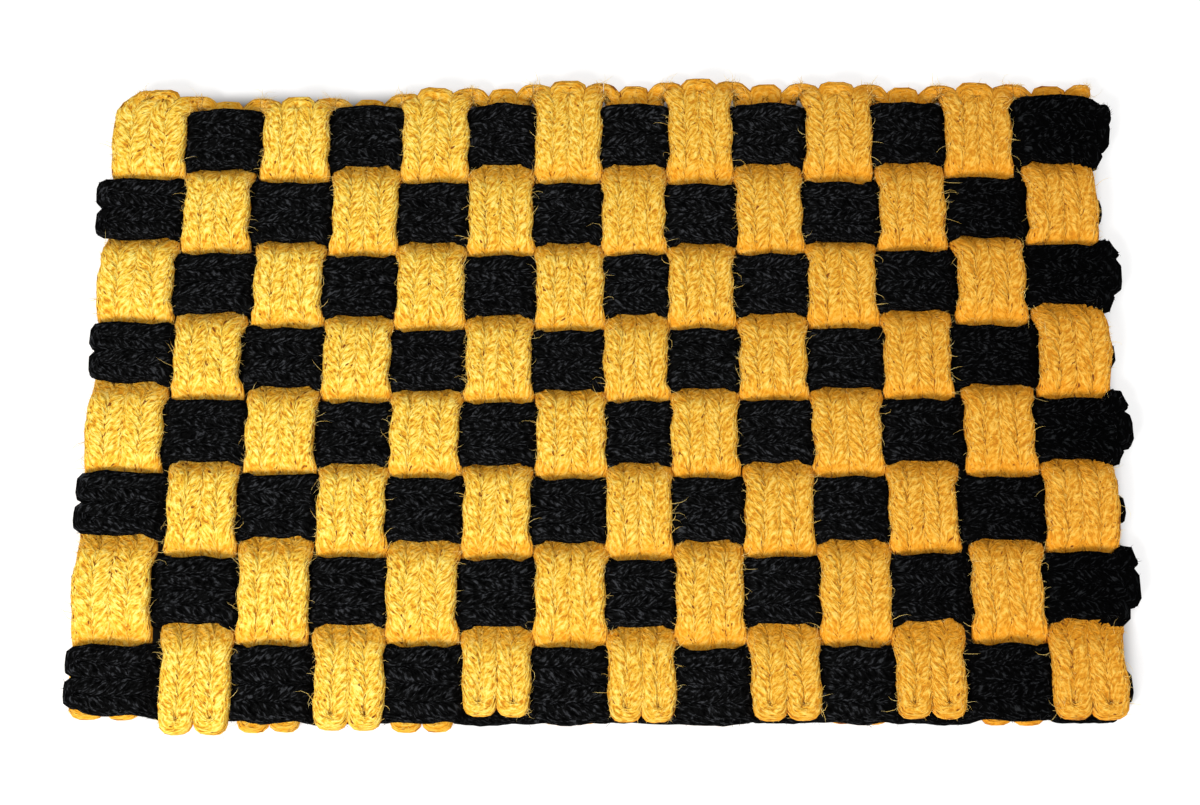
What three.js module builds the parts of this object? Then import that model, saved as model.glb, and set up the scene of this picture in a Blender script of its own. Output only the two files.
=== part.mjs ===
// A doormat woven from two coir ropes: 14 yellow straps cross 8 black ones, over and under in turn.
// Each strap is four runs of rope, side by side and pressed flat.
// Millimetres. +X is to the right, +Y is to the far edge, +Z is up, and the origin is the centre of the base.
import * as THREE from "three";

// The rope
const RUNS = 4; // rope runs side by side in one strap
const ROPE_HEIGHT = 10; // a run of rope, pressed flat
const GROOVE = 3; // depth of the groove between two runs
const CROWN = 0.8; // how much a strap swells at the middle of each crossing where it is on top

// The weave
const CLEARANCE = 0.4; // air between two straps where they cross
const SIDE_GAP = 1.5; // least air between two straps that lie side by side
const SQUEEZE = 0.93; // a strap's width where it passes under, as a share of its width on top
const SHOULDER = 0.97; // the same at the two ends of a stretch on top
const LINK_GAP = 0.3; // air between two straps where the rope passes on from one to the next
const LOW = ROPE_HEIGHT / 2; // height of a strap's middle where it passes under
const HIGH = LOW + ROPE_HEIGHT + CLEARANCE; // and where it passes over

// The turns at the edges of the mat
const LOOP_DEPTH = 10; // a round loop, from the start of its turn to its tip
const SCALLOP_DEPTH = 6; // the same for the shallow turns that pass on to the next strap
const NOTCH = 0.25; // how far the notch between two turns stands out, as a share of the turn
const TIP_HEIGHT = 4.5; // height of the rounded rim at the tip of a turn
const TIP_DROP = 0.8; // how much the tip of a loop that lies on top hangs down
const LANDING = 2; // height above LOW at which a black strap's right end comes down beside the mat
const TAIL_X = 363; // where the yellow rope's cut end lies, beside the last strap

// How far a strap wanders from its line at each crossing
const WANDER = 0.8;

// Yellow straps from left to right: the centre line at the far edge, in the middle and at the near edge,
// the width on top, and where the far and near turns end
const YELLOW = [
  { farX: -339, midX: -343, nearX: -344, width: 57, farY: 236, nearY: -242 },
  { farX: -285, midX: -286, nearX: -282, width: 50, farY: 236, nearY: -245 },
  { farX: -231, midX: -231, nearX: -232, width: 51, farY: 233, nearY: -246 },
  { farX: -177, midX: -179, nearX: -177, width: 50, farY: 235, nearY: -245 },
  { farX: -127, midX: -129, nearX: -127, width: 51, farY: 239, nearY: -245 },
  { farX: -77, midX: -78, nearX: -75, width: 49, farY: 241, nearY: -238 },
  { farX: -28, midX: -26, nearX: -25, width: 51, farY: 244, nearY: -241 },
  { farX: 20, midX: 21, nearX: 24, width: 48, farY: 243, nearY: -242 },
  { farX: 69, midX: 69, nearX: 72, width: 49, farY: 246, nearY: -241 },
  { farX: 119, midX: 120, nearX: 122, width: 50, farY: 244, nearY: -240 },
  { farX: 171, midX: 171, nearX: 173, width: 51, farY: 243, nearY: -241 },
  { farX: 223, midX: 223, nearX: 221, width: 50, farY: 242, nearY: -239 },
  { farX: 275, midX: 279, nearX: 278, width: 51, farY: 242, nearY: -242 },
  { farX: 333, midX: 335, nearX: 331, width: 54, farY: 238, nearY: -240 },
];

// Black straps from far to near: the centre line at the left edge, in the middle and at the right edge,
// the width on top, and where the left and right turns end
const BLACK = [
  { leftY: 190, midY: 195, rightY: 196, width: 50, leftX: -366, rightX: 374 },
  { leftY: 136, midY: 131, rightY: 138, width: 48, leftX: -375, rightX: 366 },
  { leftY: 79, midY: 75, rightY: 84, width: 47, leftX: -367, rightX: 375 },
  { leftY: 24, midY: 18, rightY: 25, width: 46, leftX: -372, rightX: 368 },
  { leftY: -34, midY: -36, rightY: -32, width: 47, leftX: -368, rightX: 374 },
  { leftY: -88, midY: -92, rightY: -90, width: 47, leftX: -374, rightX: 367 },
  { leftY: -149, midY: -151, rightY: -146, width: 49, leftX: -367, rightX: 372 },
  { leftY: -217, midY: -215, rightY: -213, width: 52, leftX: -372, rightX: 363 },
];

// Where the black strap of a row and the yellow strap of a column meet, yellow is on top at even sums.
const yellowOnTop = (row, column) => (row + column) % 2 === 0;

// A smooth line through three values, at a share of the way from the first to the last
function through(first, middle, last, share) {
  const bow = middle - (first + last) / 2;
  return THREE.MathUtils.lerp(first, last, share) + bow * 4 * share * (1 - share);
}

// A strap's small, regular wander at a crossing, different in every row and column
const wander = (row, column, phase) => WANDER * Math.sin(2.3 * row + 3.9 * column + phase);

// Centre of the yellow strap of a column, along X, where it meets a row
function yellowCentre(row, column) {
  const { farX, midX, nearX } = YELLOW[column];
  return through(farX, midX, nearX, row / (BLACK.length - 1)) + wander(row, column, 0);
}

// Centre of the black strap of a row, along Y, where it meets a column
function blackCentre(row, column) {
  const { leftY, midY, rightY } = BLACK[row];
  return through(leftY, midY, rightY, column / (YELLOW.length - 1)) + wander(row, column, 1.6);
}

// A strap's two edges at a crossing. One that passes under is squeezed between the two beside it,
// which are on top there.
function edges(centre, width, onTop, before, after) {
  if (onTop) return { low: centre - width / 2, high: centre + width / 2 };
  const half = (width * SQUEEZE) / 2;
  return {
    low: Math.max(centre - half, before + SIDE_GAP),
    high: Math.min(centre + half, after - SIDE_GAP),
  };
}

// Edges of a yellow strap along X, where it meets a row
function yellowEdges(row, column) {
  const edgeOf = (other, side) =>
    YELLOW[other] ? yellowCentre(row, other) + (side * YELLOW[other].width) / 2 : -side * Infinity;
  return edges(
    yellowCentre(row, column),
    YELLOW[column].width,
    yellowOnTop(row, column),
    edgeOf(column - 1, 1),
    edgeOf(column + 1, -1),
  );
}

// Edges of a black strap along Y, where it meets a column
function blackEdges(row, column) {
  const edgeOf = (other, side) =>
    BLACK[other] ? blackCentre(other, column) + (side * BLACK[other].width) / 2 : -side * Infinity;
  return edges(
    blackCentre(row, column),
    BLACK[row].width,
    !yellowOnTop(row, column),
    edgeOf(row + 1, 1),
    edgeOf(row - 1, -1),
  );
}

// Outline of one round turn of the rope, 0 to 1, across a strap that runs from -0.5 to 0.5
const turn = (across, centre) => Math.sqrt(Math.max(0, 1 - ((across - centre) * RUNS) ** 2));
const twoLoops = (across) => Math.max(turn(across, -0.25), turn(across, 0.25));
const scallops = (across) => Math.max(turn(across, -0.5), turn(across, 0), turn(across, 0.5));
const straight = () => 1;

// Middle of a span, and the span drawn in about its middle to a share of its width
const middle = ({ low, high }) => (low + high) / 2;
function narrowed(span, share) {
  const half = ((span.high - span.low) / 2) * share;
  return { low: middle(span) - half, high: middle(span) + half };
}

// The sections of a strap at one crossing. Its flat part ends where the rims of the strap it crosses begin.
function crossingSections({ span, across, onTop }) {
  const flat = ((across.high - across.low) / 2) * (1 - 1 / RUNS);
  const centre = middle(across);
  if (!onTop)
    return [
      { along: centre - flat, span, z: LOW, height: ROPE_HEIGHT },
      { along: centre + flat, span, z: LOW, height: ROPE_HEIGHT },
    ];
  const shoulder = narrowed(span, SHOULDER);
  return [
    { along: centre - flat, span: shoulder, z: HIGH, height: ROPE_HEIGHT },
    { along: centre, span, z: HIGH + CROWN / 2, height: ROPE_HEIGHT + CROWN },
    { along: centre + flat, span: shoulder, z: HIGH, height: ROPE_HEIGHT },
  ];
}

// The three sections that round off an end. direction is -1 at a strap's first end and 1 at its last.
function endSections({ tip, span, z, drop, outline, depth }, direction) {
  const start = tip - direction * depth;
  const ahead = (across, share) => direction * depth * share * (NOTCH + (1 - NOTCH) * outline(across));
  return [
    { along: start, span, z, height: ROPE_HEIGHT },
    { along: start, span, z, height: ROPE_HEIGHT, ahead: (across) => ahead(across, 0.75) },
    { along: start, span, z: z - drop, height: TIP_HEIGHT, ahead: (across) => ahead(across, 1) },
  ];
}

// The points round one section: along the ridges and grooves of the top, and back along the bottom
function sectionPoints({ along, span, z, height, ahead = () => 0 }) {
  const points = [];
  const place = (across, level) => {
    const side = THREE.MathUtils.lerp(span.low, span.high, across + 0.5);
    points.push(new THREE.Vector3(along + ahead(across), side, z + level));
  };
  const steps = 2 * RUNS;
  const groove = (GROOVE * height) / ROPE_HEIGHT;
  for (let step = 0; step <= steps; step++) {
    const rim = step === 0 || step === steps;
    const ridge = step % 2 === 1;
    place(step / steps - 0.5, rim ? 0 : height / 2 - (ridge ? 0 : groove));
  }
  const underside = 0.5 - 0.5 / RUNS;
  for (const across of [underside, 0, -underside]) place(across, -height / 2);
  return points;
}

// One closed solid through a strap's sections
function strapGeometry(sections) {
  const rings = sections.map(sectionPoints);
  const size = rings[0].length;
  const top = 2 * RUNS;
  const faces = [];
  for (let ring = 0; ring + 1 < rings.length; ring++)
    for (let point = 0; point < size; point++) {
      const next = (point + 1) % size;
      const here = ring * size;
      const there = here + size;
      faces.push(here + point, there + point, here + next);
      faces.push(here + next, there + point, there + next);
    }
  // Each end is closed from the underside's three points to the ridges above them
  const cap = [];
  const [right, centre, left] = [top + 1, top + 2, top + 3];
  for (let point = 0; point < RUNS / 2; point++) cap.push([left, point, point + 1]);
  for (let point = RUNS / 2; point < top - RUNS / 2; point++) cap.push([centre, point, point + 1]);
  for (let point = top - RUNS / 2; point < top; point++) cap.push([right, point, point + 1]);
  cap.push([left, RUNS / 2, centre], [centre, top - RUNS / 2, right]);
  const last = (rings.length - 1) * size;
  for (const [a, b, c] of cap) faces.push(a, b, c, last + a, last + c, last + b);
  const geometry = new THREE.BufferGeometry().setFromPoints(rings.flat());
  geometry.setIndex(faces);
  geometry.computeVertexNormals();
  return geometry;
}

// All sections of a strap. A linked end comes down and spreads after its last crossing,
// and a loose end starts its turn at once, at the height and width it has.
function strapSections(crossings, firstEnd, lastEnd) {
  const sections = crossings.flatMap(crossingSections);
  if (!firstEnd.linked) sections.shift();
  if (!lastEnd.linked) sections.pop();
  return [
    ...endSections(firstEnd, -1).reverse(),
    ...sections,
    ...endSections(lastEnd, 1),
  ];
}

// A loose end: two round loops, at the height of the strap's last crossing
function loopedEnd(tip, { span, onTop }) {
  return {
    tip,
    span: narrowed(span, SHOULDER),
    z: onTop ? HIGH : LOW,
    drop: onTop ? TIP_DROP : 0,
    outline: twoLoops,
    depth: LOOP_DEPTH,
  };
}

// An end from which the rope passes on: scallops that meet those of the straps beside it
function linkedEnd(tip, span, z, outline = scallops) {
  return { tip, span, z, drop: 0, outline, depth: SCALLOP_DEPTH, linked: true };
}

// Where two neighbours' scallops meet, half way between their facing edges
const meeting = (lower, upper, side) => (lower.high + upper.low) / 2 + (side * LINK_GAP) / 2;

const yellowCoir = new THREE.MeshStandardMaterial({ color: 0xe6ae38, roughness: 0.95, metalness: 0 });
const blackCoir = new THREE.MeshStandardMaterial({ color: 0x14161a, roughness: 0.9, metalness: 0 });

// Yellow straps run from far to near, so they are turned a quarter turn: along them is -Y, across is +X.
function yellowStrap(column) {
  const { farY, nearY } = YELLOW[column];
  const crossings = BLACK.map((_, row) => {
    const { low, high } = blackEdges(row, column);
    return {
      span: yellowEdges(row, column),
      across: { low: -high, high: -low },
      onTop: yellowOnTop(row, column),
    };
  });
  const own = crossings[0].span;
  const farSpan = {
    low: YELLOW[column - 1] ? meeting(yellowEdges(0, column - 1), own, 1) : own.low,
    high: YELLOW[column + 1] ? meeting(own, yellowEdges(0, column + 1), -1) : TAIL_X,
  };
  const farOutline = YELLOW[column + 1] ? scallops : straight;
  const mesh = new THREE.Mesh(
    strapGeometry(
      strapSections(
        crossings,
        linkedEnd(-farY, farSpan, LOW, farOutline),
        loopedEnd(-nearY, crossings.at(-1)),
      ),
    ),
    yellowCoir,
  );
  mesh.name = `yellow_strap_${String(column + 1).padStart(2, "0")}`;
  return mesh;
}

// Black straps run from left to right: along them is +X, across is +Y.
function blackStrap(row) {
  const { leftX, rightX } = BLACK[row];
  const crossings = YELLOW.map((_, column) => ({
    span: blackEdges(row, column),
    across: yellowEdges(row, column),
    onTop: !yellowOnTop(row, column),
  }));
  const lastColumn = YELLOW.length - 1;
  const own = crossings.at(-1).span;
  const rightSpan = {
    low: BLACK[row + 1] ? meeting(blackEdges(row + 1, lastColumn), own, 1) : own.low,
    high: BLACK[row - 1] ? meeting(own, blackEdges(row - 1, lastColumn), -1) : own.high,
  };
  const landing = crossings.at(-1).onTop ? LOW + LANDING : LOW;
  const mesh = new THREE.Mesh(
    strapGeometry(
      strapSections(
        crossings,
        loopedEnd(leftX, crossings[0]),
        linkedEnd(rightX, rightSpan, landing),
      ),
    ),
    blackCoir,
  );
  mesh.name = `black_strap_${row + 1}`;
  return mesh;
}

const mat = new THREE.Group();
const yellowStraps = new THREE.Group();
yellowStraps.rotation.z = -Math.PI / 2;
YELLOW.forEach((_, column) => yellowStraps.add(yellowStrap(column)));
BLACK.forEach((_, row) => mat.add(blackStrap(row)));
mat.add(yellowStraps);

export default mat;
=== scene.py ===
# The look of a doormat woven from two coir ropes. Each strap of the weave is four runs of one rope, which
# turns back at the mat's edges. It is laid out in millimetres in the mat's own frame, +X to the right, +Y to
# the far edge and +Z up. The finished meshes are in metres.
import math
from collections import namedtuple

import bpy
import numpy as np
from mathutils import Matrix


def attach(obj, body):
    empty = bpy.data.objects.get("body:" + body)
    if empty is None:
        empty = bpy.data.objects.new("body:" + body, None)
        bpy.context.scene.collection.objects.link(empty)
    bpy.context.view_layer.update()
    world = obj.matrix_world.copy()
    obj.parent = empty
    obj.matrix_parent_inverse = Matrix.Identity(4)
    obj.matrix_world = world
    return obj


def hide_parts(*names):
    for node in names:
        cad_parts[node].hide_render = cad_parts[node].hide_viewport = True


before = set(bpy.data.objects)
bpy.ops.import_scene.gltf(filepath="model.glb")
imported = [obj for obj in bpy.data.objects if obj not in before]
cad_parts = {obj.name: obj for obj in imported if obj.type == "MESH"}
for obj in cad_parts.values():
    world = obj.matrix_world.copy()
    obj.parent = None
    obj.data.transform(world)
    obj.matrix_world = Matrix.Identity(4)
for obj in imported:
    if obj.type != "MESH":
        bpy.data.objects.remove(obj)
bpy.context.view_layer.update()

MM = 0.001  # metres in a millimetre
TINY = 1e-9  # the least that anything is divided by

# The weave, with the sizes of the solids
RUNS = 4  # rope runs side by side in one strap, counted from 0
MIDDLE_RUN = (RUNS - 1) / 2  # the strap's middle among them
ROPE_HEIGHT = 10.0  # a run of rope, pressed flat
CROWN = 0.8  # how much a strap swells where it is on top
CLEARANCE = 0.4  # air between two straps where they cross
SIDE_GAP = 1.5  # least air between two straps that lie side by side
SQUEEZE = 0.93  # a strap's width where it passes under, as a share of its width on top
SHOULDER = 0.95  # its width where a stretch on top starts and ends, as a share of the same
LOW = ROPE_HEIGHT / 2  # height of a strap's middle where it passes under
HIGH = LOW + ROPE_HEIGHT + CLEARANCE  # and where it passes over
LOOP_DEPTH = 10.0  # how far before its tip a loose end has spread to its last width
SCALLOP_DEPTH = 6.0  # the same where the rope passes on to the next strap
TIP_DROP = 0.8  # how much the tip of a loop that lies on top hangs down
TAIL_X = 363.0  # where the yellow rope's cut end lies
WANDER = 0.8  # how far a strap wanders from its line
ROW_WANDER = 2.3  # how far its wave goes on from row to row, in radians
COLUMN_WANDER = 3.9  # and from column to column
BLACK_WANDER = 1.6  # where the black straps' wave starts

Strap = namedtuple("Strap", "first middle last width link loop")

# Yellow straps from left to right: centre line along X at the far edge, in the middle and at the near edge,
# width on top, and where the far turns and the near loops end along Y
YELLOW = [
    Strap(-339, -343, -344, 57, 236, -238),
    Strap(-285, -286, -282, 50, 230, -250),
    Strap(-231, -231, -232, 51, 231, -247),
    Strap(-177, -179, -177, 50, 232, -247),
    Strap(-127, -129, -127, 51, 238, -247),
    Strap(-77, -78, -75, 49, 241, -238),
    Strap(-28, -26, -25, 51, 244, -241),
    Strap(20, 21, 24, 48, 243, -242),
    Strap(69, 69, 72, 49, 246, -241),
    Strap(119, 120, 122, 50, 244, -240),
    Strap(171, 171, 173, 51, 243, -241),
    Strap(223, 223, 221, 50, 242, -239),
    Strap(275, 279, 278, 51, 242, -242),
    Strap(333, 335, 331, 54, 243, -240),
]

# Black straps from far to near: centre line along Y at the left edge, in the middle and at the right edge,
# width on top, and where the right turns and the left loops end along X
BLACK = [
    Strap(190, 195, 196, 50, 374, -366),
    Strap(136, 131, 138, 48, 366, -375),
    Strap(79, 75, 84, 47, 375, -367),
    Strap(24, 18, 25, 46, 368, -372),
    Strap(-34, -36, -32, 47, 374, -368),
    Strap(-88, -92, -90, 47, 367, -374),
    Strap(-149, -151, -146, 49, 372, -367),
    Strap(-214, -216, -214, 55, 363, -372),
]

# The rope
LAY = 120.0  # length in which its strands go once round it, the other way in every other run
YARNS = 12
RING = 36  # points round the rope, three for each yarn
SQUARENESS = 3.3  # of its section: 2 is an ellipse, more is squarer
PRESSED = 1.5  # its width against the distance between two runs, which run into each other
WIDEST = 10.2  # half of its greatest width
RUN_STEP = 6.0  # length between two rings on a straight run
BEND_STEP = 2.0  # and in the tightest bends
BEND_ANGLE = 0.34  # the bend between two rings elsewhere, in radians
FINE = 0.5  # spacing of the points that a route is first worked out with
HEADING_PASSES = 2  # how often its direction is smoothed

# How it lies
BULGE = 3.2  # how far a strap spreads on each side between two crossings, but not at the mat's own edges
SWING = 0.7  # how far a strap swings from side to side
SWING_PITCH = 90.0  # the length of its waves
YELLOW_SWING = 1.7  # how far the wave goes on from one yellow strap to the next, in radians
BLACK_SWING = 2.6  # and from one black strap to the next
BLACK_SWING_START = 1  # where the first black strap's wave starts
LOOPS_SPREAD = 1.04  # a strap's width at its loose end, as a share of its width at the last crossing
TURN_TIP = 0.9  # the rope's width at the tip of a turn, as a share of its width before it
TURN_CORNER = 0.18  # how much wider it gets at the turn's two corners, as a share of the same
LINK_WIDTH = 6.8  # half of its width where two straps' turns meet
EYE_LENGTH = 8.0  # of the small eye inside each loop
EYE_SPREAD = 0.3  # how far each side of the loop is moved off the eye
EYE_NARROWING = 0.26  # how much narrower the rope is there, as a share of its width
FAR_LIFT = 6.0  # how much higher a strap that lies on top passes its rope on than one below
YELLOW_MEETING = LOW + FAR_LIFT / 2  # the height at which two yellow straps' turns meet
YELLOW_SHORT = 4.0  # how far the yellow rope's far turns stay inside the solids' tips
BLACK_LONG = 2.0  # how far the first turn of a black strap that ends on top lies outside its own one
BLACK_MEETING = LOW + 1.0  # the height at which black straps' turns meet, below the last yellow strap
BLACK_BACK = 12.0  # and how far inside the solids' tips they meet
CORNER_PINCH = 16.0  # how far the first yellow strap's outer run is drawn in at the mat's far corner
CORNER_LEAN = 7.0  # and how far its other side leans
CORNER_RISE = 6.0  # how far the first black strap bulges at its right end
CORNER_NARROWING = 9.0  # how much narrower the last one gets at its left end, half of it at the crossing
BLUNT = 5.0  # how far from its own end the rope gets thinner
BLUNTING = 0.8  # how much of its section it loses there, as a share

# The form of a turn: how square it is, and how deep as a share of half its width
Bend = namedtuple("Bend", "squareness depth")
LOOP = Bend(2.2, 0.95)
BLACK_LOOP = Bend(3.0, 0.8)
SCALLOP = Bend(2.6, 0.8)
HIDDEN = Bend(1.5, 1.3)  # where the black rope passes on below a yellow strap

# What makes the rope uneven: by how much, in what length of rope, and where its waves start, in radians
Waver = namedtuple("Waver", "size pitch phase")
TWISTING = Waver(0.8, 210.0, 0.4)  # how far round its strands go, in radians
THINNING = Waver(0.05, 47.0, 1.3)  # how thick it is, as a share
WIDENING = Waver(0.06, 31.0, 2.2)  # how wide it is, as a share
YARN_DEPTH = Waver(0.6, 29.0, 1.9)  # how deep each yarn lies. The phase is from one yarn to the next
SWAY = Waver(0.6, 43.0, 0.9)  # how far it lies to the side
LIFT = Waver(0.4, 97.0, 2.7)  # how high it lies
WAVES = ((1.0, 1.0), (0.618, 2.1), (1.73, 3.7))  # rates and shifts of phase of the waves in a waver

# How deep the points of three yarns lie, three points for each: its groove and its back
PROFILE = (0.9, 0.0, 0.05, 0.6, 0.05, 0.0, 0.65, 0.0, 0.1)

# Loose fibres, in millimetres, or as shares of a hair's length
HAIR_RADIUS = (0.12, 0.21)
HAIR_TAPER = 0.75  # how much thinner a hair gets, as a share of its radius
HAIR_ROLL = (0.31, 0.52, 0.79)  # a slanting direction from which the sides of all hairs are worked out
ROOT_DEPTH = 0.4  # how deep in the rope a hair starts
ROOT_HEIGHT = 7.5  # how high above the floor at least
BORDER = 19.0  # how far off the middle of a strap its border starts
FUZZ_FACING = -0.1  # how far up the rope's side faces at least where short hairs start
FUZZ_LENGTH = (0.5, 1.0)  # how much of their length they have
FUZZ_OUT = (0.3, 1.0)  # how far they stand out of the rope
FUZZ_LEAN = 0.8  # how far they lean from straight out
FUZZ_DROOP = 0.35  # how far their ends are off their own line
FUZZ_BEND = 0.6  # where they bend
FUZZ_LOWEST = 0.3  # how high their ends are at least
STRAY_FACING = 0.0  # the same for the long hairs: how far up the rope's side faces
STRAY_CURVE = 0.25  # how far their ends are off their own line
STRAY_BOW = 0.35  # and how far their middles are
STRAY_OUT = 2.0  # how far they come out of the rope
STRAY_RISE = (0.2, 2.0)  # how high they end above a strap on top
STRAY_ARCH = 0.5  # how far above its end a stray's middle is at least

# The patterns of the materials, in waves to a metre, across the rope twice and along it
GRAIN = (1050, 1050, 290)
BLOTCHES = (110, 110, 60)
SPECKS = (950, 950, 230)
GRAIN_STRENGTH = 0.8
GRAIN_DEPTH = 0.0020  # metres
SPECK_BAND = (0.765, 0.84)  # from where to where in their pattern the specks come out
SPECKS_ON_FLANK = 0.14  # how much more of them there is at the rope's sides
SPECKS_IN_BLOTCHES = 0.1  # and in some stretches
SHADE_HEIGHT = (0.0140, 0.0200)  # metres, between which a strap bends down and the painted shade of its lower parts comes in
# how far the colour goes towards the painted shade where a strap lies low
SHADE_SHARE = 0.5
RIGHT_DYE_AND_SHADE = 0.37  # metres, where the rope has all of its right colours, which are partly another dye and partly painted shade
ROPE_ROUGHNESS = 0.85
HAIR_ROUGHNESS = 0.7
HAIR_TONES = 260.0  # waves to a metre


# A strap's line at one crossing, which wanders a little from strap to strap
def centre(strap, share, row, column, phase=0.0):
    bow = strap.middle - (strap.first + strap.last) / 2
    line = strap.first + (strap.last - strap.first) * share + bow * 4 * share * (1 - share)
    return line + WANDER * math.sin(ROW_WANDER * row + COLUMN_WANDER * column + phase)


def yellow_centre(row, column):
    return centre(YELLOW[column], row / (len(BLACK) - 1), row, column)


def black_centre(row, column):
    return centre(BLACK[row], column / (len(YELLOW) - 1), row, column, BLACK_WANDER)


def yellow_on_top(row, column):
    return (row + column) % 2 == 0


def facing_edge(straps, other, side, centre_of):
    """The edge of the strap beside, if there is one. side is 1 for its high edge and -1 for its low one."""
    if not 0 <= other < len(straps):
        return -side * math.inf
    return centre_of(other) + side * straps[other].width / 2


def squeezed(middle, width, on_top, before, after):
    """The two edges of a strap at a crossing: one that passes under is squeezed between its neighbours."""
    if on_top:
        return middle - width / 2, middle + width / 2
    half = width * SQUEEZE / 2
    return max(middle - half, before + SIDE_GAP), min(middle + half, after - SIDE_GAP)


def yellow_edges(row, column):
    before, after = (facing_edge(YELLOW, column - side, side, lambda other: yellow_centre(row, other))
                     for side in (1, -1))
    middle = yellow_centre(row, column)
    return squeezed(middle, YELLOW[column].width, yellow_on_top(row, column), before, after)


def black_edges(row, column):
    before, after = (facing_edge(BLACK, row + side, side, lambda other: black_centre(other, column))
                     for side in (1, -1))
    middle = black_centre(row, column)
    return squeezed(middle, BLACK[row].width, not yellow_on_top(row, column), before, after)


def drawn_in(span, share):
    """Two edges, drawn in to a share of their distance."""
    middle, half = (span[0] + span[1]) / 2, (span[1] - span[0]) / 2 * share
    return middle - half, middle + half


def squarish(value, squareness):
    """A sine or cosine, raised so that what was round gets squarer."""
    return np.sign(value) * np.abs(value) ** (2 / squareness)


def smooth(share):
    """From 0 to 1, with a soft start and end."""
    share = np.clip(share, 0.0, 1.0)
    return share * share * (3 - 2 * share)


def eased(at, places, values):
    """Values given at some places, eased from each to the next."""
    places, values = np.asarray(places, float), np.asarray(values, float)
    index = np.clip(np.searchsorted(places, at) - 1, 0, len(places) - 2)
    share = smooth((at - places[index]) / (places[index + 1] - places[index]))
    return values[index] + (values[index + 1] - values[index]) * share


def waver(length, pitch, phase):
    """A smooth and irregular wave between -1 and 1 along a rope."""
    turns = 2 * math.pi * np.asarray(length) / pitch
    return sum(np.sin(rate * turns + shift * phase) for rate, shift in WAVES) / len(WAVES)


def wave(length, kind):
    """The waver of one kind of unevenness."""
    return waver(length, kind.pitch, kind.phase)


# A strap's outline and height along its own length. Its own directions are along, from its first end to its
# last, and across, from its low edge to its high one.
class Lie:
    def __init__(self, phase, first, last):
        self.stations = []
        self.phase = phase
        self.low_bulge = BULGE * (not first)
        self.high_bulge = BULGE * (not last)

    def add(self, along, low, high, level, height):
        self.stations.append((along, low, high, level, height))

    def crossing(self, span, crossed, on_top):
        """The flat stretch over or under another strap, up to the middles of that strap's outer runs."""
        low, high = span
        middle = sum(crossed) / 2
        flat = (crossed[1] - crossed[0]) / 2 * (1 - 1 / RUNS)
        if not on_top:
            for along in (middle - flat, middle + flat):
                self.add(along, low, high, LOW, ROPE_HEIGHT)
            return
        shoulder = drawn_in(span, SHOULDER)
        self.add(middle - flat, *shoulder, HIGH, ROPE_HEIGHT)
        self.add(middle, low, high, HIGH + CROWN / 2, ROPE_HEIGHT + CROWN)
        self.add(middle + flat, *shoulder, HIGH, ROPE_HEIGHT)

    def loose_end(self, tip, span, on_top, outward):
        """Two loops at the height of the last crossing. They take the place of its last flat end."""
        self.stations.pop(-1 if outward > 0 else 0)
        spread = drawn_in(span, LOOPS_SPREAD)
        level = HIGH if on_top else LOW
        self.add(tip - outward * LOOP_DEPTH, *spread, level, ROPE_HEIGHT)
        self.add(tip, *spread, level - TIP_DROP * on_top, ROPE_HEIGHT)

    def linked_end(self, tip, span, level, outward):
        """Scallops that have come down and spread to meet the neighbours' ones."""
        self.add(tip - outward * SCALLOP_DEPTH, *span, level, ROPE_HEIGHT)
        self.add(tip, *span, level, ROPE_HEIGHT)

    def at(self, along, run):
        """Across, height, half width and half height of a run."""
        table = np.array(sorted(self.stations)).T
        low, high, level, height = (eased(along, table[0], column) for column in table[1:])
        between = np.clip(1 - (2 * (level - LOW) / (HIGH - LOW) - 1) ** 2, 0, 1)
        swing = SWING * waver(along, SWING_PITCH, self.phase)
        low = low - self.low_bulge * between + swing
        high = high + self.high_bulge * between + swing
        pitch = (high - low) / (RUNS - 1 + PRESSED)
        return low + pitch * (run + PRESSED / 2), level, np.minimum(pitch * PRESSED / 2, WIDEST), height / 2


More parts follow.
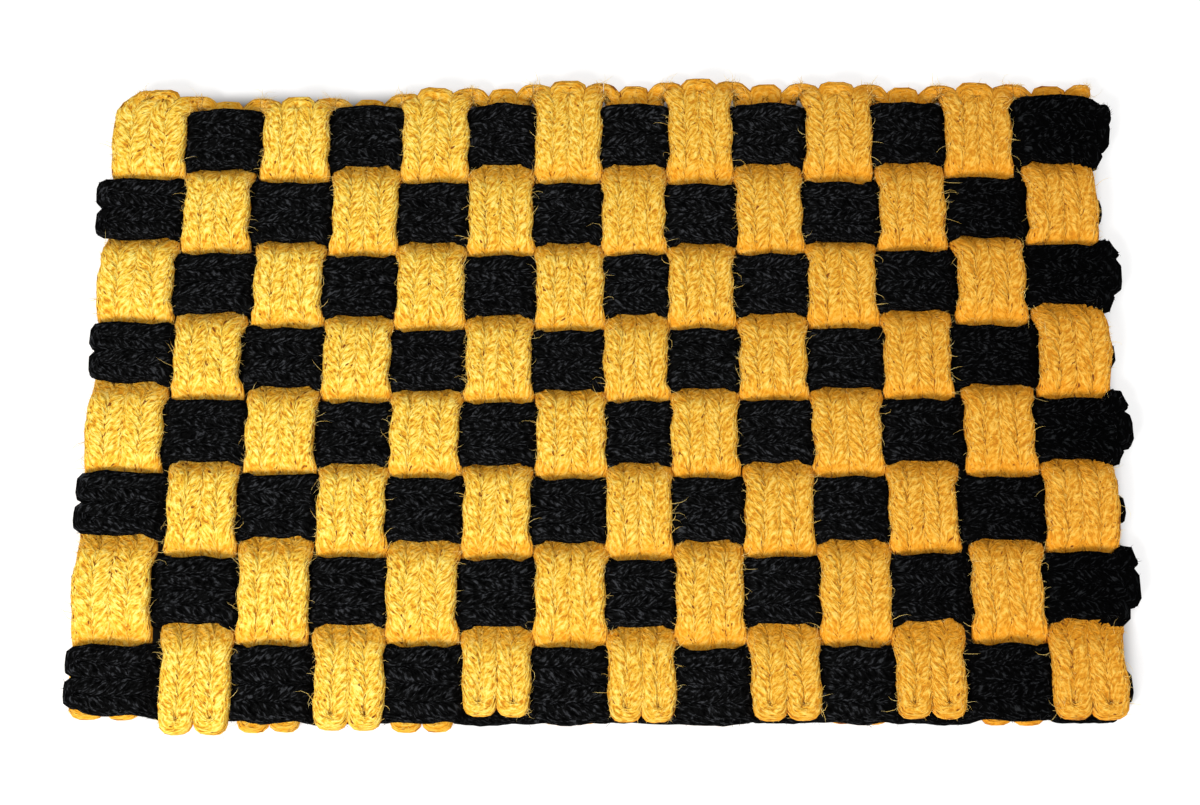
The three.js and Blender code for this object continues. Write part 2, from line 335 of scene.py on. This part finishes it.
# The route of a strap's rope: it comes in from the strap before, makes four runs, and passes on
class Route:
    def __init__(self, lie):
        self.lie = lie
        self.stretches = []  # rows of along, across, height, half width, half height and middle line

    def across(self, along, run):
        return float(self.lie.at(np.array([along]), run)[0][0])

    def half_width(self, along):
        return float(self.lie.at(np.array([along]), MIDDLE_RUN)[2][0])

    def straight(self, start, end, run, loop, away):
        """A run. Next to its loop it moves away from the loop's eye and is narrower."""
        along = np.linspace(start, end, max(2, round(abs(end - start) / FINE)))
        across, level, width, height = self.lie.at(along, run)
        close = smooth(1 - np.abs(along - loop) / EYE_LENGTH)
        across = across + away * EYE_SPREAD * close
        width = width * (1 - EYE_NARROWING * close)
        self.add(along, across, level, width, height)

    def add(self, along, *places):
        """A stretch, with the strap's middle line beside it."""
        self.stretches.append(np.column_stack([along, *places, self.lie.at(along, MIDDLE_RUN)[0]]))

    def turn(self, base, depth, lines, outward, bend, narrow=0.0, links=None, back=0.0):
        """A squarish half circle from one line across the strap to another. Where it links two straps it is
        a quarter that ends on the second line, at the height links, after it has come back a little."""
        start, end = lines
        radius = abs(end - start) / (2 if links is None else 1)
        angle = np.linspace(0, math.pi / (1 if links is None else 2), max(3, round(6 * radius / FINE)))
        along = base + outward * depth * squarish(np.sin(angle), bend.squareness)
        across = start + np.sign(end - start) * radius * (1 - squarish(np.cos(angle), bend.squareness))
        along = along - outward * back * smooth(2 * angle / math.pi) ** 2
        _, level, width, height = self.lie.at(along, MIDDLE_RUN)
        tip = np.sin(angle) ** 2
        corner = TURN_CORNER * np.sin(2 * angle) ** 2
        width = width * (1 - narrow) * (1 - (1 - TURN_TIP) * tip + corner)
        if links is not None:
            level = level + (links - level) * tip
            width = width + (LINK_WIDTH - width) * tip
        self.add(along, across, level, width, height)

    def own_turn(self, tip, runs, outward, bend, spread=0.0, narrow=0.0):
        """A turn inside the strap, between two of its runs. Gives where it starts, and what makes it."""
        def lines(along):
            first, second = (self.across(along, run) for run in runs)
            side = math.copysign(spread, second - first)
            return first - side, second + side

        start, end = lines(tip)
        depth = bend.depth * abs(end - start) / 2
        base = tip - outward * (depth + self.half_width(tip) * TURN_TIP * (1 - narrow))
        return base, lambda: self.turn(base, depth, lines(base), outward, bend, narrow)

    def link_turn(self, tip, run, meeting, outward, bend, level, back):
        """Half of the turn that links two straps, up to the line where they meet. Gives the same two."""
        depth = bend.depth * abs(meeting - self.across(tip, run))
        base = tip - outward * (depth + LINK_WIDTH)
        lines = self.across(base, run), meeting
        return base, lambda: self.turn(base, depth, lines, outward, bend, 0.0, level, back)

    def tail(self, end):
        """A straight stretch across the strap, on from the last turn."""
        last = self.stretches[-1][-1]
        across = np.arange(last[1], end, math.copysign(FINE, end - last[1]))
        rest = np.tile(last, (len(across), 1))
        rest[:, 1] = across
        self.stretches.append(rest)

    def points(self):
        points = np.concatenate(self.stretches)
        apart = np.linalg.norm(np.diff(points[:, :3], axis=0), axis=1)
        return points[np.concatenate([[True], apart > FINE / 4])]


def strap_route(lie, runs, out, tips, meetings, loop_tip, bends, level, backs=(0.0, 0.0), tail=None):
    """One strap's whole rope. runs has its runs in the rope's order, and out is the side where the rope
    passes on. tips has the tips there of the turn from the strap before, of the strap's own turn and of the
    turn to the strap after, and meetings the lines where the first and the last of them end: None at the
    rope's own ends. bends has the forms of the loops and of the turns that link the strap to others, level is
    the height at which these meet, and backs is how far they come back before that. tail is where the rope's
    last end lies."""
    route = Route(lie)
    order = math.copysign(1, runs[-1] - runs[0])
    loop_bend, link_bend = bends
    first_loop, turn_first = route.own_turn(loop_tip, runs[:2], -out, loop_bend, EYE_SPREAD, EYE_NARROWING)
    last_loop, turn_last = route.own_turn(loop_tip, runs[2:], -out, loop_bend, EYE_SPREAD, EYE_NARROWING)
    own, turn_own = route.own_turn(tips[1], runs[1:3], out, SCALLOP)

    start = tips[0]
    if meetings[0] is not None:
        start, turn_in = route.link_turn(tips[0], runs[0], meetings[0], out, link_bend, level, backs[0])
        turn_in()
        route.stretches[-1] = route.stretches[-1][::-1]
    route.straight(start, first_loop, runs[0], first_loop, -order)
    turn_first()
    route.straight(first_loop, own, runs[1], first_loop, order)
    turn_own()
    route.straight(own, last_loop, runs[2], last_loop, -order)
    turn_last()

    end = tips[2]
    meeting = meetings[1]
    if tail is not None:
        meeting = route.across(tips[2], runs[3]) + math.copysign(LINK_WIDTH, tail)
    if meeting is not None:
        end, turn_out = route.link_turn(tips[2], runs[3], meeting, out, link_bend, level, backs[1])
    route.straight(last_loop, end, runs[3], last_loop, order)
    if meeting is not None:
        turn_out()
    if tail is not None:
        route.tail(tail)

    points = route.points()
    if meetings[0] is None:
        blunt(points)
    if meetings[1] is None:
        blunt(points[::-1])
    return points


def blunt(points):
    """Makes the rope thinner towards its own end, which is the first of these points."""
    step = np.linalg.norm(np.diff(points[:, :3], axis=0), axis=1)
    length = np.concatenate([[0.0], np.cumsum(step)])
    points[:, 3:5] *= np.sqrt(1 - BLUNTING * np.clip(1 - length / BLUNT, 0, 1) ** 2)[:, None]


def yellow_route(column):
    """Along a yellow strap is -Y and across it is +X."""
    strap = YELLOW[column]
    spans = [yellow_edges(row, column) for row in range(len(BLACK))]
    lie = Lie(YELLOW_SWING * column, column == 0, column == len(YELLOW) - 1)
    for row, span in enumerate(spans):
        low, high = black_edges(row, column)
        lie.crossing(span, (-high, -low), yellow_on_top(row, column))
    lie.loose_end(-strap.loop, spans[-1], yellow_on_top(len(BLACK) - 1, column), outward=1)
    before = YELLOW[column - 1] if column > 0 else None
    after = YELLOW[column + 1] if column + 1 < len(YELLOW) else None
    low, high = spans[0]
    if before:
        low = (yellow_edges(0, column - 1)[1] + low) / 2 + CORNER_LEAN * (column == 1)
    else:
        low += CORNER_PINCH
    if after:
        high = (high + yellow_edges(0, column + 1)[0]) / 2 + CORNER_LEAN * (column == 0)
    lie.linked_end(-strap.link, (low, high), LOW + FAR_LIFT * yellow_on_top(0, column), outward=-1)
    tips = [YELLOW_SHORT - (strap.link + (other or strap).link) / 2 for other in (before, strap, after)]
    return strap_route(lie, [0, 1, 2, 3], -1, tips, [low if before else None, high if after else None],
                       -strap.loop, (LOOP, SCALLOP), YELLOW_MEETING, tail=None if after else TAIL_X)


def black_route(row):
    """Along a black strap is +X and across it is +Y. The strap before it is on its high side."""
    strap = BLACK[row]
    columns = range(len(YELLOW))
    spans = [black_edges(row, column) for column in columns]
    if row == 0:
        spans[-1] = (spans[-1][0], spans[-1][1] + CORNER_RISE)
    if row == len(BLACK) - 1:
        spans[0] = (spans[0][0] + CORNER_NARROWING / 2, spans[0][1])
    lie = Lie(BLACK_SWING * row + BLACK_SWING_START, row == len(BLACK) - 1, row == 0)
    for column, span in zip(columns, spans):
        lie.crossing(span, yellow_edges(row, column), not yellow_on_top(row, column))
    low, high = spans[0]
    if row == len(BLACK) - 1:
        low += CORNER_NARROWING / 2
    lie.loose_end(strap.loop, (low, high), not yellow_on_top(row, 0), outward=-1)
    before = BLACK[row - 1] if row > 0 else None
    after = BLACK[row + 1] if row + 1 < len(BLACK) else None
    low, high = black_edges(row, columns[-1])
    if before:
        high = (high + black_edges(row - 1, columns[-1])[0]) / 2
    if after:
        low = (black_edges(row + 1, columns[-1])[1] + low) / 2
    on_top = not yellow_on_top(row, columns[-1])
    lie.linked_end(strap.link, (low, high), LOW + FAR_LIFT * on_top, outward=1)
    joins = [(strap.link + (other or strap).link) / 2 - BLACK_BACK for other in (before, after)]
    if on_top:
        tips = [strap.link + BLACK_LONG, strap.link, (strap.link + (after or strap).link) / 2]
        backs = [tips[0] - join for join in joins]
    else:
        tips = [joins[0], strap.link, joins[1]]
        backs = [0.0, 0.0]
    return strap_route(lie, [3, 2, 1, 0], 1, tips, [high if before else None, low if after else None],
                       strap.loop, (BLACK_LOOP, SCALLOP if on_top else HIDDEN), BLACK_MEETING, backs)


# The rope itself, made along a route
class Rope:
    """Rings of points along a route, in millimetres. start is the length of rope before this stretch of it,
    and axis is the one across the strap."""

    def __init__(self, places, start, axis):
        step = np.linalg.norm(np.diff(places[:, :3], axis=0), axis=1)
        length = np.concatenate([[0.0], np.cumsum(step)])
        self.length = length[-1]
        even = np.arange(0.0, self.length, FINE)
        line = np.column_stack([np.interp(even, length, places[:, k]) for k in range(places.shape[1])])
        heading = np.gradient(line[:, :3], even, axis=0)
        for _ in range(HEADING_PASSES):
            heading[1:-1] = (heading[:-2] + 2 * heading[1:-1] + heading[2:]) / 4
        heading /= np.linalg.norm(heading, axis=1)[:, None]
        bend = np.linalg.norm(np.gradient(heading, even, axis=0), axis=1)
        spacing = np.clip(BEND_ANGLE / np.maximum(bend, TINY), BEND_STEP, RUN_STEP)
        spacing[np.minimum(even, self.length - even) < BLUNT] = BEND_STEP / 2
        count = np.concatenate([[0.0], np.cumsum(FINE / spacing[:-1])])
        rings = round(count[-1])
        at = np.interp(np.arange(rings + 1) * count[-1] / rings, count, even)
        self.middle, self.forward = (
            np.column_stack([np.interp(at, even, value[:, k]) for k in range(3)])
            for value in (line, heading))
        self.forward /= np.linalg.norm(self.forward, axis=1)[:, None]
        self.along = start + at
        self.width, self.height, strap_middle = (np.interp(at, even, line[:, k]) for k in (3, 4, 5))
        self.side = np.cross(self.forward, (0.0, 0.0, 1.0))
        self.side /= np.linalg.norm(self.side, axis=1)[:, None]
        self.up = np.cross(self.side, self.forward)
        self.lengthwise = 1 - axis
        self.shape_rings()
        self.off_middle = np.abs(self.points[:, :, axis] - strap_middle[:, None])

    def shape_rings(self):
        """The points, with each one's place in the rope's fibres and how far it is on the rope's flank."""
        along = self.along[:, None]
        own = 2 * math.pi * np.arange(RING) / RING
        twist = 2 * math.pi * self.middle[:, self.lengthwise, None] / LAY
        twist = twist + TWISTING.size * wave(along, TWISTING)
        angle = own - twist
        thin = 1 - THINNING.size * (1 + wave(along, THINNING)) / 2
        wide = self.width[:, None] * (1 + WIDENING.size * wave(along, WIDENING))
        out = squarish(np.cos(angle), SQUARENESS) * wide * thin
        above = squarish(np.sin(angle), SQUARENESS) * self.height[:, None] * thin
        yarn = np.arange(RING) // (RING // YARNS)
        uneven = YARN_DEPTH.size * (1 + waver(along, YARN_DEPTH.pitch, YARN_DEPTH.phase * yarn)) / 2
        inset = (np.tile(PROFILE, YARNS // 3) + uneven) / np.hypot(out, above)
        out, above = out * (1 - inset), above * (1 - inset)
        sway = SWAY.size * wave(along, SWAY)
        lift = LIFT.size * wave(along, LIFT)
        middle = self.middle[:, None, :].copy()
        middle[:, :, 2] = np.maximum(middle[:, :, 2] + lift, self.height[:, None])
        self.points = (middle + self.side[:, None, :] * (out + sway)[:, :, None]
                       + self.up[:, None, :] * above[:, :, None])
        own, along = np.broadcast_arrays(own, along)
        self.fibre = np.stack([ROPE_HEIGHT / 2 * np.cos(own), ROPE_HEIGHT / 2 * np.sin(own), along], axis=2)
        self.flank = np.abs(np.cos(angle))


def add_mesh(name, points, faces, material, attributes=(), flat=()):
    """A finished piece in metres, its place in its mesh. flat lists the faces that aren't shaded smooth."""
    mesh = bpy.data.meshes.new(name)
    mesh.from_pydata(np.asarray(points) * MM, [], faces)
    mesh.shade_smooth()
    for face in flat:
        mesh.polygons[face].use_smooth = False
    for title, kind, values in attributes:
        layer = mesh.attributes.new(title, kind, "POINT")
        field = "vector" if kind == "FLOAT_VECTOR" else "value"
        layer.data.foreach_set(field, np.asarray(values, np.float32).ravel())
    mesh.materials.append(material)
    piece = bpy.data.objects.new(name, mesh)
    bpy.context.scene.collection.objects.link(piece)
    return piece


def rope_piece(name, rope, material):
    """The rope's skin, with a flat cap at each end."""
    count = len(rope.points)
    ring = np.arange(RING)
    after = (ring + 1) % RING
    first = RING * np.arange(count - 1)[:, None]
    sides = np.stack([first + ring, first + RING + ring, first + RING + after, first + after], axis=2)
    faces = sides.reshape(-1, 4).tolist()
    faces.append(ring.tolist())
    faces.append((RING * (count - 1) + ring[::-1]).tolist())
    attributes = [("fibre", "FLOAT_VECTOR", rope.fibre * MM), ("flank", "FLOAT", rope.flank)]
    ends = (len(faces) - 2, len(faces) - 1)
    return add_mesh(name, rope.points.reshape(-1, 3), faces, material, attributes, ends)


# Loose fibres, three-sided hairs that end in a point
def hair_piece(name, start, bend, end, radius, material, parts=3):
    """Hairs from start to end, in millimetres, each drawn towards its bend on the way."""
    share = np.linspace(0, 1, parts + 1)[None, :, None]
    line = ((1 - share) ** 2 * start[:, None] + 2 * share * (1 - share) * bend[:, None]
            + share ** 2 * end[:, None])
    heading = np.gradient(line, axis=1)
    heading /= np.maximum(np.linalg.norm(heading, axis=2, keepdims=True), TINY)
    side = np.cross(heading, HAIR_ROLL)
    side /= np.maximum(np.linalg.norm(side, axis=2, keepdims=True), TINY)
    up = np.cross(side, heading)
    thin = radius[:, None, None] * (1 - HAIR_TAPER * share)
    corners = [line + thin * (side * math.cos(turn) + up * math.sin(turn))
               for turn in (0, 2 * math.pi / 3, 4 * math.pi / 3)]
    rings = np.stack(corners, axis=2)[:, :-1]
    count = len(start)
    points = np.concatenate([rings.reshape(count, -1, 3), line[:, -1:]], axis=1)
    each = points.shape[1]
    quads = []
    for ring in range(parts - 1):
        for corner in range(3):
            after = (corner + 1) % 3
            quads.append((3 * ring + corner, 3 * ring + 3 + corner, 3 * ring + 3 + after, 3 * ring + after))
    last = 3 * (parts - 1)
    tip = each - 1
    triangles = [(last, tip, last + 1), (last + 1, tip, last + 2), (last + 2, tip, last), (0, 1, 2)]
    base = each * np.arange(count)[:, None, None]
    quads = (base + np.array(quads)).reshape(-1, 4).tolist()
    triangles = (base + np.array(triangles)).reshape(-1, 3).tolist()
    return add_mesh(name, points.reshape(-1, 3), quads + triangles, material)


def roots(ropes, count, facing, off_middle, random):
    """Random places on the upper side of some ropes, at least so far off the middle of their strap, with the
    way out of the rope and the way along it."""
    points = np.concatenate([rope.points.reshape(-1, 3) for rope in ropes])
    out = np.concatenate([(rope.points - rope.middle[:, None]).reshape(-1, 3) for rope in ropes])
    forward = np.concatenate([np.repeat(rope.forward, RING, axis=0) for rope in ropes])
    out /= np.linalg.norm(out, axis=1)[:, None]
    beside = np.concatenate([rope.off_middle.ravel() for rope in ropes]) > off_middle
    seen = np.flatnonzero((out[:, 2] > facing) & (points[:, 2] > ROOT_HEIGHT) & beside)
    chosen = random.choice(seen, count)
    return points[chosen], out[chosen], forward[chosen]


def fuzz(name, ropes, count, length, off_middle, material, random):
    """Short hairs that stand out of the rope."""
    root, out, forward = roots(ropes, count, FUZZ_FACING, off_middle, random)
    across = np.cross(out, forward)
    reach = random.uniform(*length, (count, 1)) * random.uniform(*FUZZ_LENGTH, (count, 1))
    lean = forward * random.normal(0, 1, (count, 1)) + across * random.normal(0, 1, (count, 1))
    way = out * random.uniform(*FUZZ_OUT, (count, 1)) + lean * FUZZ_LEAN
    way /= np.linalg.norm(way, axis=1)[:, None]
    droop = across * random.normal(0, FUZZ_DROOP, (count, 1))
    droop = droop + forward * random.normal(0, FUZZ_DROOP, (count, 1))
    bend = root + way * reach * FUZZ_BEND
    end = root + way * reach + droop * reach
    end[:, 2] = np.maximum(end[:, 2], FUZZ_LOWEST)
    radius = random.uniform(*HAIR_RADIUS, count)
    return hair_piece(name, root - out * ROOT_DEPTH, bend, end, radius, material, parts=2)


def strays(name, ropes, count, length, material, random):
    """Long hairs that start at the straps' borders and lie across the mat."""
    root, out, _ = roots(ropes, count, STRAY_FACING, BORDER, random)
    heading = random.uniform(0, 2 * math.pi, count)
    flat = np.column_stack([np.cos(heading), np.sin(heading), np.zeros(count)])
    beside = np.column_stack([-np.sin(heading), np.cos(heading), np.zeros(count)])
    reach = random.uniform(*length, (count, 1))
    top = HIGH + (ROPE_HEIGHT + CROWN) / 2
    end = root + flat * reach + beside * reach * random.normal(0, STRAY_CURVE, (count, 1))
    end[:, 2] = np.where(root[:, 2] > HIGH, top + random.uniform(*STRAY_RISE, count), root[:, 2])
    bow = beside * reach * random.normal(0, STRAY_BOW, (count, 1))
    bend = root + out * STRAY_OUT + flat * reach * 0.5 + bow
    bend[:, 2] = np.maximum(bend[:, 2], end[:, 2] + STRAY_ARCH)
    radius = random.uniform(*HAIR_RADIUS, count)
    return hair_piece(name, root - out * ROOT_DEPTH, bend, end, radius, material)


# Materials. A Socket is one output of a material's nodes, and sums with it add Math nodes.
class Socket:
    def __init__(self, tree, socket=None):
        self.tree = tree
        self.socket = socket

    def node(self, kind, settings=None, inputs=None, output=0):
        """Adds a node of any kind. Its settings come first, and then the values or links of its inputs."""
        made = self.tree.nodes.new("ShaderNode" + kind)
        for name, value in (settings or {}).items():
            setattr(made, name, value)
        for name, value in (inputs or {}).items():
            if isinstance(value, Socket):
                self.tree.links.new(value.socket, made.inputs[name])
            else:
                made.inputs[name].default_value = value
        return Socket(self.tree, made.outputs[output] if made.outputs else None)

    def math(self, operation, first, second):
        return self.node("Math", {"operation": operation}, {0: first, 1: second})

    def __add__(self, other):
        return self.math("ADD", self, other)

    def __radd__(self, other):
        return self.math("ADD", other, self)

    def __sub__(self, other):
        return self.math("SUBTRACT", self, other)

    def __rsub__(self, other):
        return self.math("SUBTRACT", other, self)

    def __mul__(self, other):
        return self.math("MULTIPLY", self, other)

    def __rmul__(self, other):
        return self.math("MULTIPLY", other, self)

    def part(self, index):
        """X, Y or Z of a place."""
        return self.node("SeparateXYZ", {}, {0: self}, index)

    def band(self, low, high):
        """0 at low and below, 1 at high and above, and smooth between."""
        return self.node("MapRange", {"interpolation_type": "SMOOTHSTEP"},
                         {"Value": self, "From Min": low, "From Max": high})

    def mix(self, first, second):
        """One colour where this is 0 and another where it is 1."""
        colours = {6: first if isinstance(first, Socket) else (*first, 1.0),
                   7: second if isinstance(second, Socket) else (*second, 1.0)}
        return self.node("Mix", {"data_type": "RGBA"}, {0: self, **colours}, output=2)

    def stretched(self, scales):
        return self.node("VectorMath", {"operation": "MULTIPLY"}, {0: self, 1: scales})

    def noise(self, scale=1.0, detail=2.0, roughness=0.5):
        return self.node("TexNoise", {},
                         {"Vector": self, "Scale": scale, "Detail": detail, "Roughness": roughness})


def new_material(name):
    """An empty material, and a Socket to start its nodes from."""
    material = bpy.data.materials.new(name)
    material.use_nodes = True
    material.node_tree.nodes.clear()
    return material, Socket(material.node_tree)


def finished(start, inputs):
    """Ends a material with its surface."""
    surface = start.node("BsdfPrincipled", {}, inputs)
    start.node("OutputMaterial", {}, {"Surface": surface})


def rope_material(name, dye, specular):
    """Coir. dye has its colours: of grooves, body, light fibres, specks and the painted shade where straps
    bend down low, and those at the mat's right side, which are partly another dye and partly painted shade.
    turn is where these start, in metres, and dark and bright are from where to where in the grain the grooves
    pass into the body and the body into light fibres. The grooves are partly painted shade, and the black
    rope's light fibres are painted glints."""
    material, start = new_material(name)
    fibre = start.node("Attribute", {"attribute_name": "fibre"}, {}, "Vector")
    flank = start.node("Attribute", {"attribute_name": "flank"}, {}, "Fac")
    place = start.node("TexCoord", {}, {}, "Object")
    grain = fibre.stretched(GRAIN).noise(detail=2.0, roughness=0.6)
    blotches = fibre.stretched(BLOTCHES).noise(detail=1.0)
    # Partly dye and partly painted shade: towards the right the rope gets darker, as the light falls off
    # there
    dye_and_shade_to_right = place.part(0).band(dye["turn"], RIGHT_DYE_AND_SHADE)
    body = dye_and_shade_to_right.mix(dye["body"], dye["right body, dyed and shaded"])
    light = dye_and_shade_to_right.mix(dye["light"], dye["right light, dyed and shaded"])
    # Darker grooves in the grain: partly the fibres' own tone and partly painted shade in the grooves
    colour = grain.band(*dye["dark"]).mix(dye["groove"], body)
    colour = grain.band(*dye["bright"]).mix(colour, light)
    # Painted shade: where a strap bends down low, its colour goes towards the edge colour of the dye
    edge = (1 - place.part(2).band(*SHADE_HEIGHT)) * SHADE_SHARE
    colour = edge.mix(colour, dye["edge"])
    speck = fibre.stretched(SPECKS).noise(detail=1.0)
    speck = speck + flank * SPECKS_ON_FLANK + blotches * SPECKS_IN_BLOTCHES
    colour = speck.band(*SPECK_BAND).mix(colour, dye["speck"])
    bump = grain.node("Bump", {}, {"Height": grain, "Strength": GRAIN_STRENGTH, "Distance": GRAIN_DEPTH})
    finished(start, {
        "Base Color": colour,
        "Roughness": ROPE_ROUGHNESS,
        "Specular IOR Level": specular,
        "Normal": bump,
    })
    return material


def hair_material(name, dark, light):
    """Loose fibres, some dark and some light."""
    material, start = new_material(name)
    tone = start.node("TexCoord", {}, {}, "Object").noise(scale=HAIR_TONES, detail=1.0)
    finished(start, {"Base Color": tone.band(0.3, 0.7).mix(dark, light), "Roughness": HAIR_ROUGHNESS})
    return material


YELLOW_DYE = {
    "turn": -0.28,
    "dark": (0.30, 0.52),
    "bright": (0.43, 0.73),
    # partly painted shade in the grain's grooves
    "groove": (0.49, 0.175, 0.008),
    # painted shade where a strap bends down low
    "edge": (0.78, 0.28, 0.008),
    "body": (0.82, 0.49, 0.032),
    "light": (0.92, 0.79, 0.21),
    # at the right side: partly another dye, partly painted shade
    "right body, dyed and shaded": (0.63, 0.27, 0.016),
    "right light, dyed and shaded": (0.82, 0.48, 0.08),
    "speck": (0.22, 0.06, 0.006),
}
BLACK_DYE = {
    "turn": 0.10,
    "dark": (0.32, 0.52),
    "bright": (0.52, 0.72),
    "groove": (0.0005, 0.0005, 0.0005),
    # painted shade where a strap bends down low
    "edge": (0.0013, 0.0013, 0.0013),
    "body": (0.0030, 0.0031, 0.0031),
    # painted glints on the black fibres
    "light": (0.036, 0.038, 0.042),
    # at the right side: partly another dye, partly painted shade
    "right body, dyed and shaded": (0.0006, 0.0006, 0.0007),
    "right light, dyed and shaded": (0.012, 0.013, 0.014),
    "speck": (0.0005, 0.0005, 0.0005),
}
yellow_coir = rope_material("yellow coir rope", YELLOW_DYE, specular=0.12)
black_coir = rope_material("black coir rope", BLACK_DYE, specular=0.01)
yellow_hair = hair_material("loose yellow fibres", dark=(0.80, 0.50, 0.08), light=(0.92, 0.72, 0.26))
# The light tone of the loose black fibres is painted glints
black_hair = hair_material("loose black fibres", dark=(0.002, 0.002, 0.003), light=(0.018, 0.02, 0.024))


# The mat
def strap_pieces(route_of, count, name_of, to_mat, axis, material):
    """All straps of one rope, one piece for each. Its flat width is four times its rope's own width, which
    is more than shows in the mat, where the runs run into each other."""
    ropes = []
    start = 0.0
    for index in range(count):
        places = route_of(index)
        places[:, :3] = to_mat(places[:, :3])
        rope = Rope(places, start, axis)
        start += rope.length
        ropes.append(rope)
        name = name_of(index)
        piece = rope_piece(name + "_rope", rope, material)
        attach(piece, "root")
        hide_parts(name)
    return ropes


def turned(points):
    """From a yellow strap's along, across and height to the mat's X, Y and Z."""
    return points[:, [1, 0, 2]] * (1, -1, 1)


yellow_ropes = strap_pieces(
    yellow_route, len(YELLOW), lambda index: f"yellow_strap_{index + 1:02d}",
    turned, 0, yellow_coir)
black_ropes = strap_pieces(
    black_route, len(BLACK), lambda index: f"black_strap_{index + 1}",
    lambda points: points, 1, black_coir)

# The loose fibres: how many, and from how long to how long before some are shortened
random = np.random.default_rng(5)
loose = [
    (fuzz("yellow_fuzz", yellow_ropes, 5000, (2.0, 5.5), 0.0, yellow_hair, random), "yellow_coir"),
    (fuzz("yellow_fringe", yellow_ropes, 8000, (2.0, 7.0), BORDER, yellow_hair, random), "yellow_coir"),
    (strays("yellow_strays", yellow_ropes, 1500, (5.0, 14.0), yellow_hair, random), "yellow_coir"),
    (fuzz("black_fuzz", black_ropes, 2500, (2.0, 5.0), 0.0, black_hair, random), "black_coir"),
    (fuzz("black_fringe", black_ropes, 4000, (2.0, 6.0), BORDER, black_hair, random), "black_coir"),
]
for piece, slot in loose:
    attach(piece, "root")

# The floor, with a painted shadow below the mat, so that it doesn't shine through the gaps between straps
FLOOR_SIZE = 6.0
SHADOW_TO_X = (0.35, 0.37)  # from where to where the painted shadow ends, in metres from the mat's middle
SHADOW_TO_Y = (0.22, 0.24)
PAINTED_FLOOR_SHADOW = (0.02, 0.016, 0.014)
PALE_FLOOR = (0.48, 0.48, 0.48)
PALEST_FLOOR = (0.51, 0.51, 0.51)
FLOOR_GLOW = 0.55
bpy.ops.object.select_all(action="DESELECT")
bpy.ops.mesh.primitive_plane_add(size=FLOOR_SIZE, location=(0, 0, 0))
floor = bpy.context.object
floor.name = "floor"
floor_material, start = new_material("pale floor")
place = start.node("TexCoord", {}, {}, "Object")
x, y = place.part(0), place.part(1)
outside_x = (x * x).band(*(edge ** 2 for edge in SHADOW_TO_X))
outside_y = (y * y).band(*(edge ** 2 for edge in SHADOW_TO_Y))
outside = outside_x + outside_y
pale = place.noise(scale=3.0).mix(PALE_FLOOR, PALEST_FLOOR)
finished(start, {
    # Painted shadow: below the mat the floor is dark and doesn't glow
    "Base Color": outside.mix(PAINTED_FLOOR_SHADOW, pale),
    "Roughness": 0.8,
    "Emission Color": outside.mix((0.0, 0.0, 0.0), (1.0, 1.0, 1.0)),
    "Emission Strength": FLOOR_GLOW,
})
floor.data.materials.append(floor_material)


# Light and camera
def soft_light(name, place, size, power, colour):
    """A square lamp that is aimed at the mat's middle."""
    data = bpy.data.lights.new(name, "AREA")
    data.shape = "SQUARE"
    data.size = size
    data.energy = power
    data.color = colour
    lamp = bpy.data.objects.new(name, data)
    bpy.context.scene.collection.objects.link(lamp)
    lamp.location = place
    x, y, z = place
    lamp.rotation_euler = (math.atan2(math.hypot(x, y), z), 0, math.atan2(y, x) + math.pi / 2)


soft_light("key light", place=(-1.3, -1.8, 1.6), size=1.0, power=79.0, colour=(1.0, 0.99, 0.97))
soft_light("fill light", place=(1.2, -0.4, 2.2), size=2.0, power=22.0, colour=(1.0, 1.0, 1.0))

STUDIO_LIGHT = 0.52
world = bpy.data.worlds.new("studio")
world.use_nodes = True
world.node_tree.nodes["Background"].inputs["Color"].default_value = (1.0, 1.0, 1.0, 1.0)
world.node_tree.nodes["Background"].inputs["Strength"].default_value = STUDIO_LIGHT
bpy.context.scene.world = world
bpy.context.scene.view_settings.view_transform = "Standard"

PHOTO_WIDTH = 1200
FOCAL_LENGTH = 2033.7  # in the photograph's pixels
TILT = math.radians(17)  # from straight down, seen from the near side
DISTANCE = 1.45
TARGET = (0.0, -0.0155, 0.014)  # what the middle of the view is aimed at
TARGET_RIGHT, TARGET_DOWN = 7.0, 3.5  # where it shows, in pixels from the middle of the picture
camera_data = bpy.data.cameras.new("camera")
camera_data.sensor_width = 36
camera_data.lens = camera_data.sensor_width * FOCAL_LENGTH / PHOTO_WIDTH
camera_data.shift_x = -TARGET_RIGHT / PHOTO_WIDTH
camera_data.shift_y = TARGET_DOWN / PHOTO_WIDTH
camera = bpy.data.objects.new("camera", camera_data)
camera.location = (TARGET[0], TARGET[1] - DISTANCE * math.sin(TILT), TARGET[2] + DISTANCE * math.cos(TILT))
camera.rotation_euler = (TILT, 0, 0)
bpy.context.scene.collection.objects.link(camera)
bpy.context.scene.camera = camera
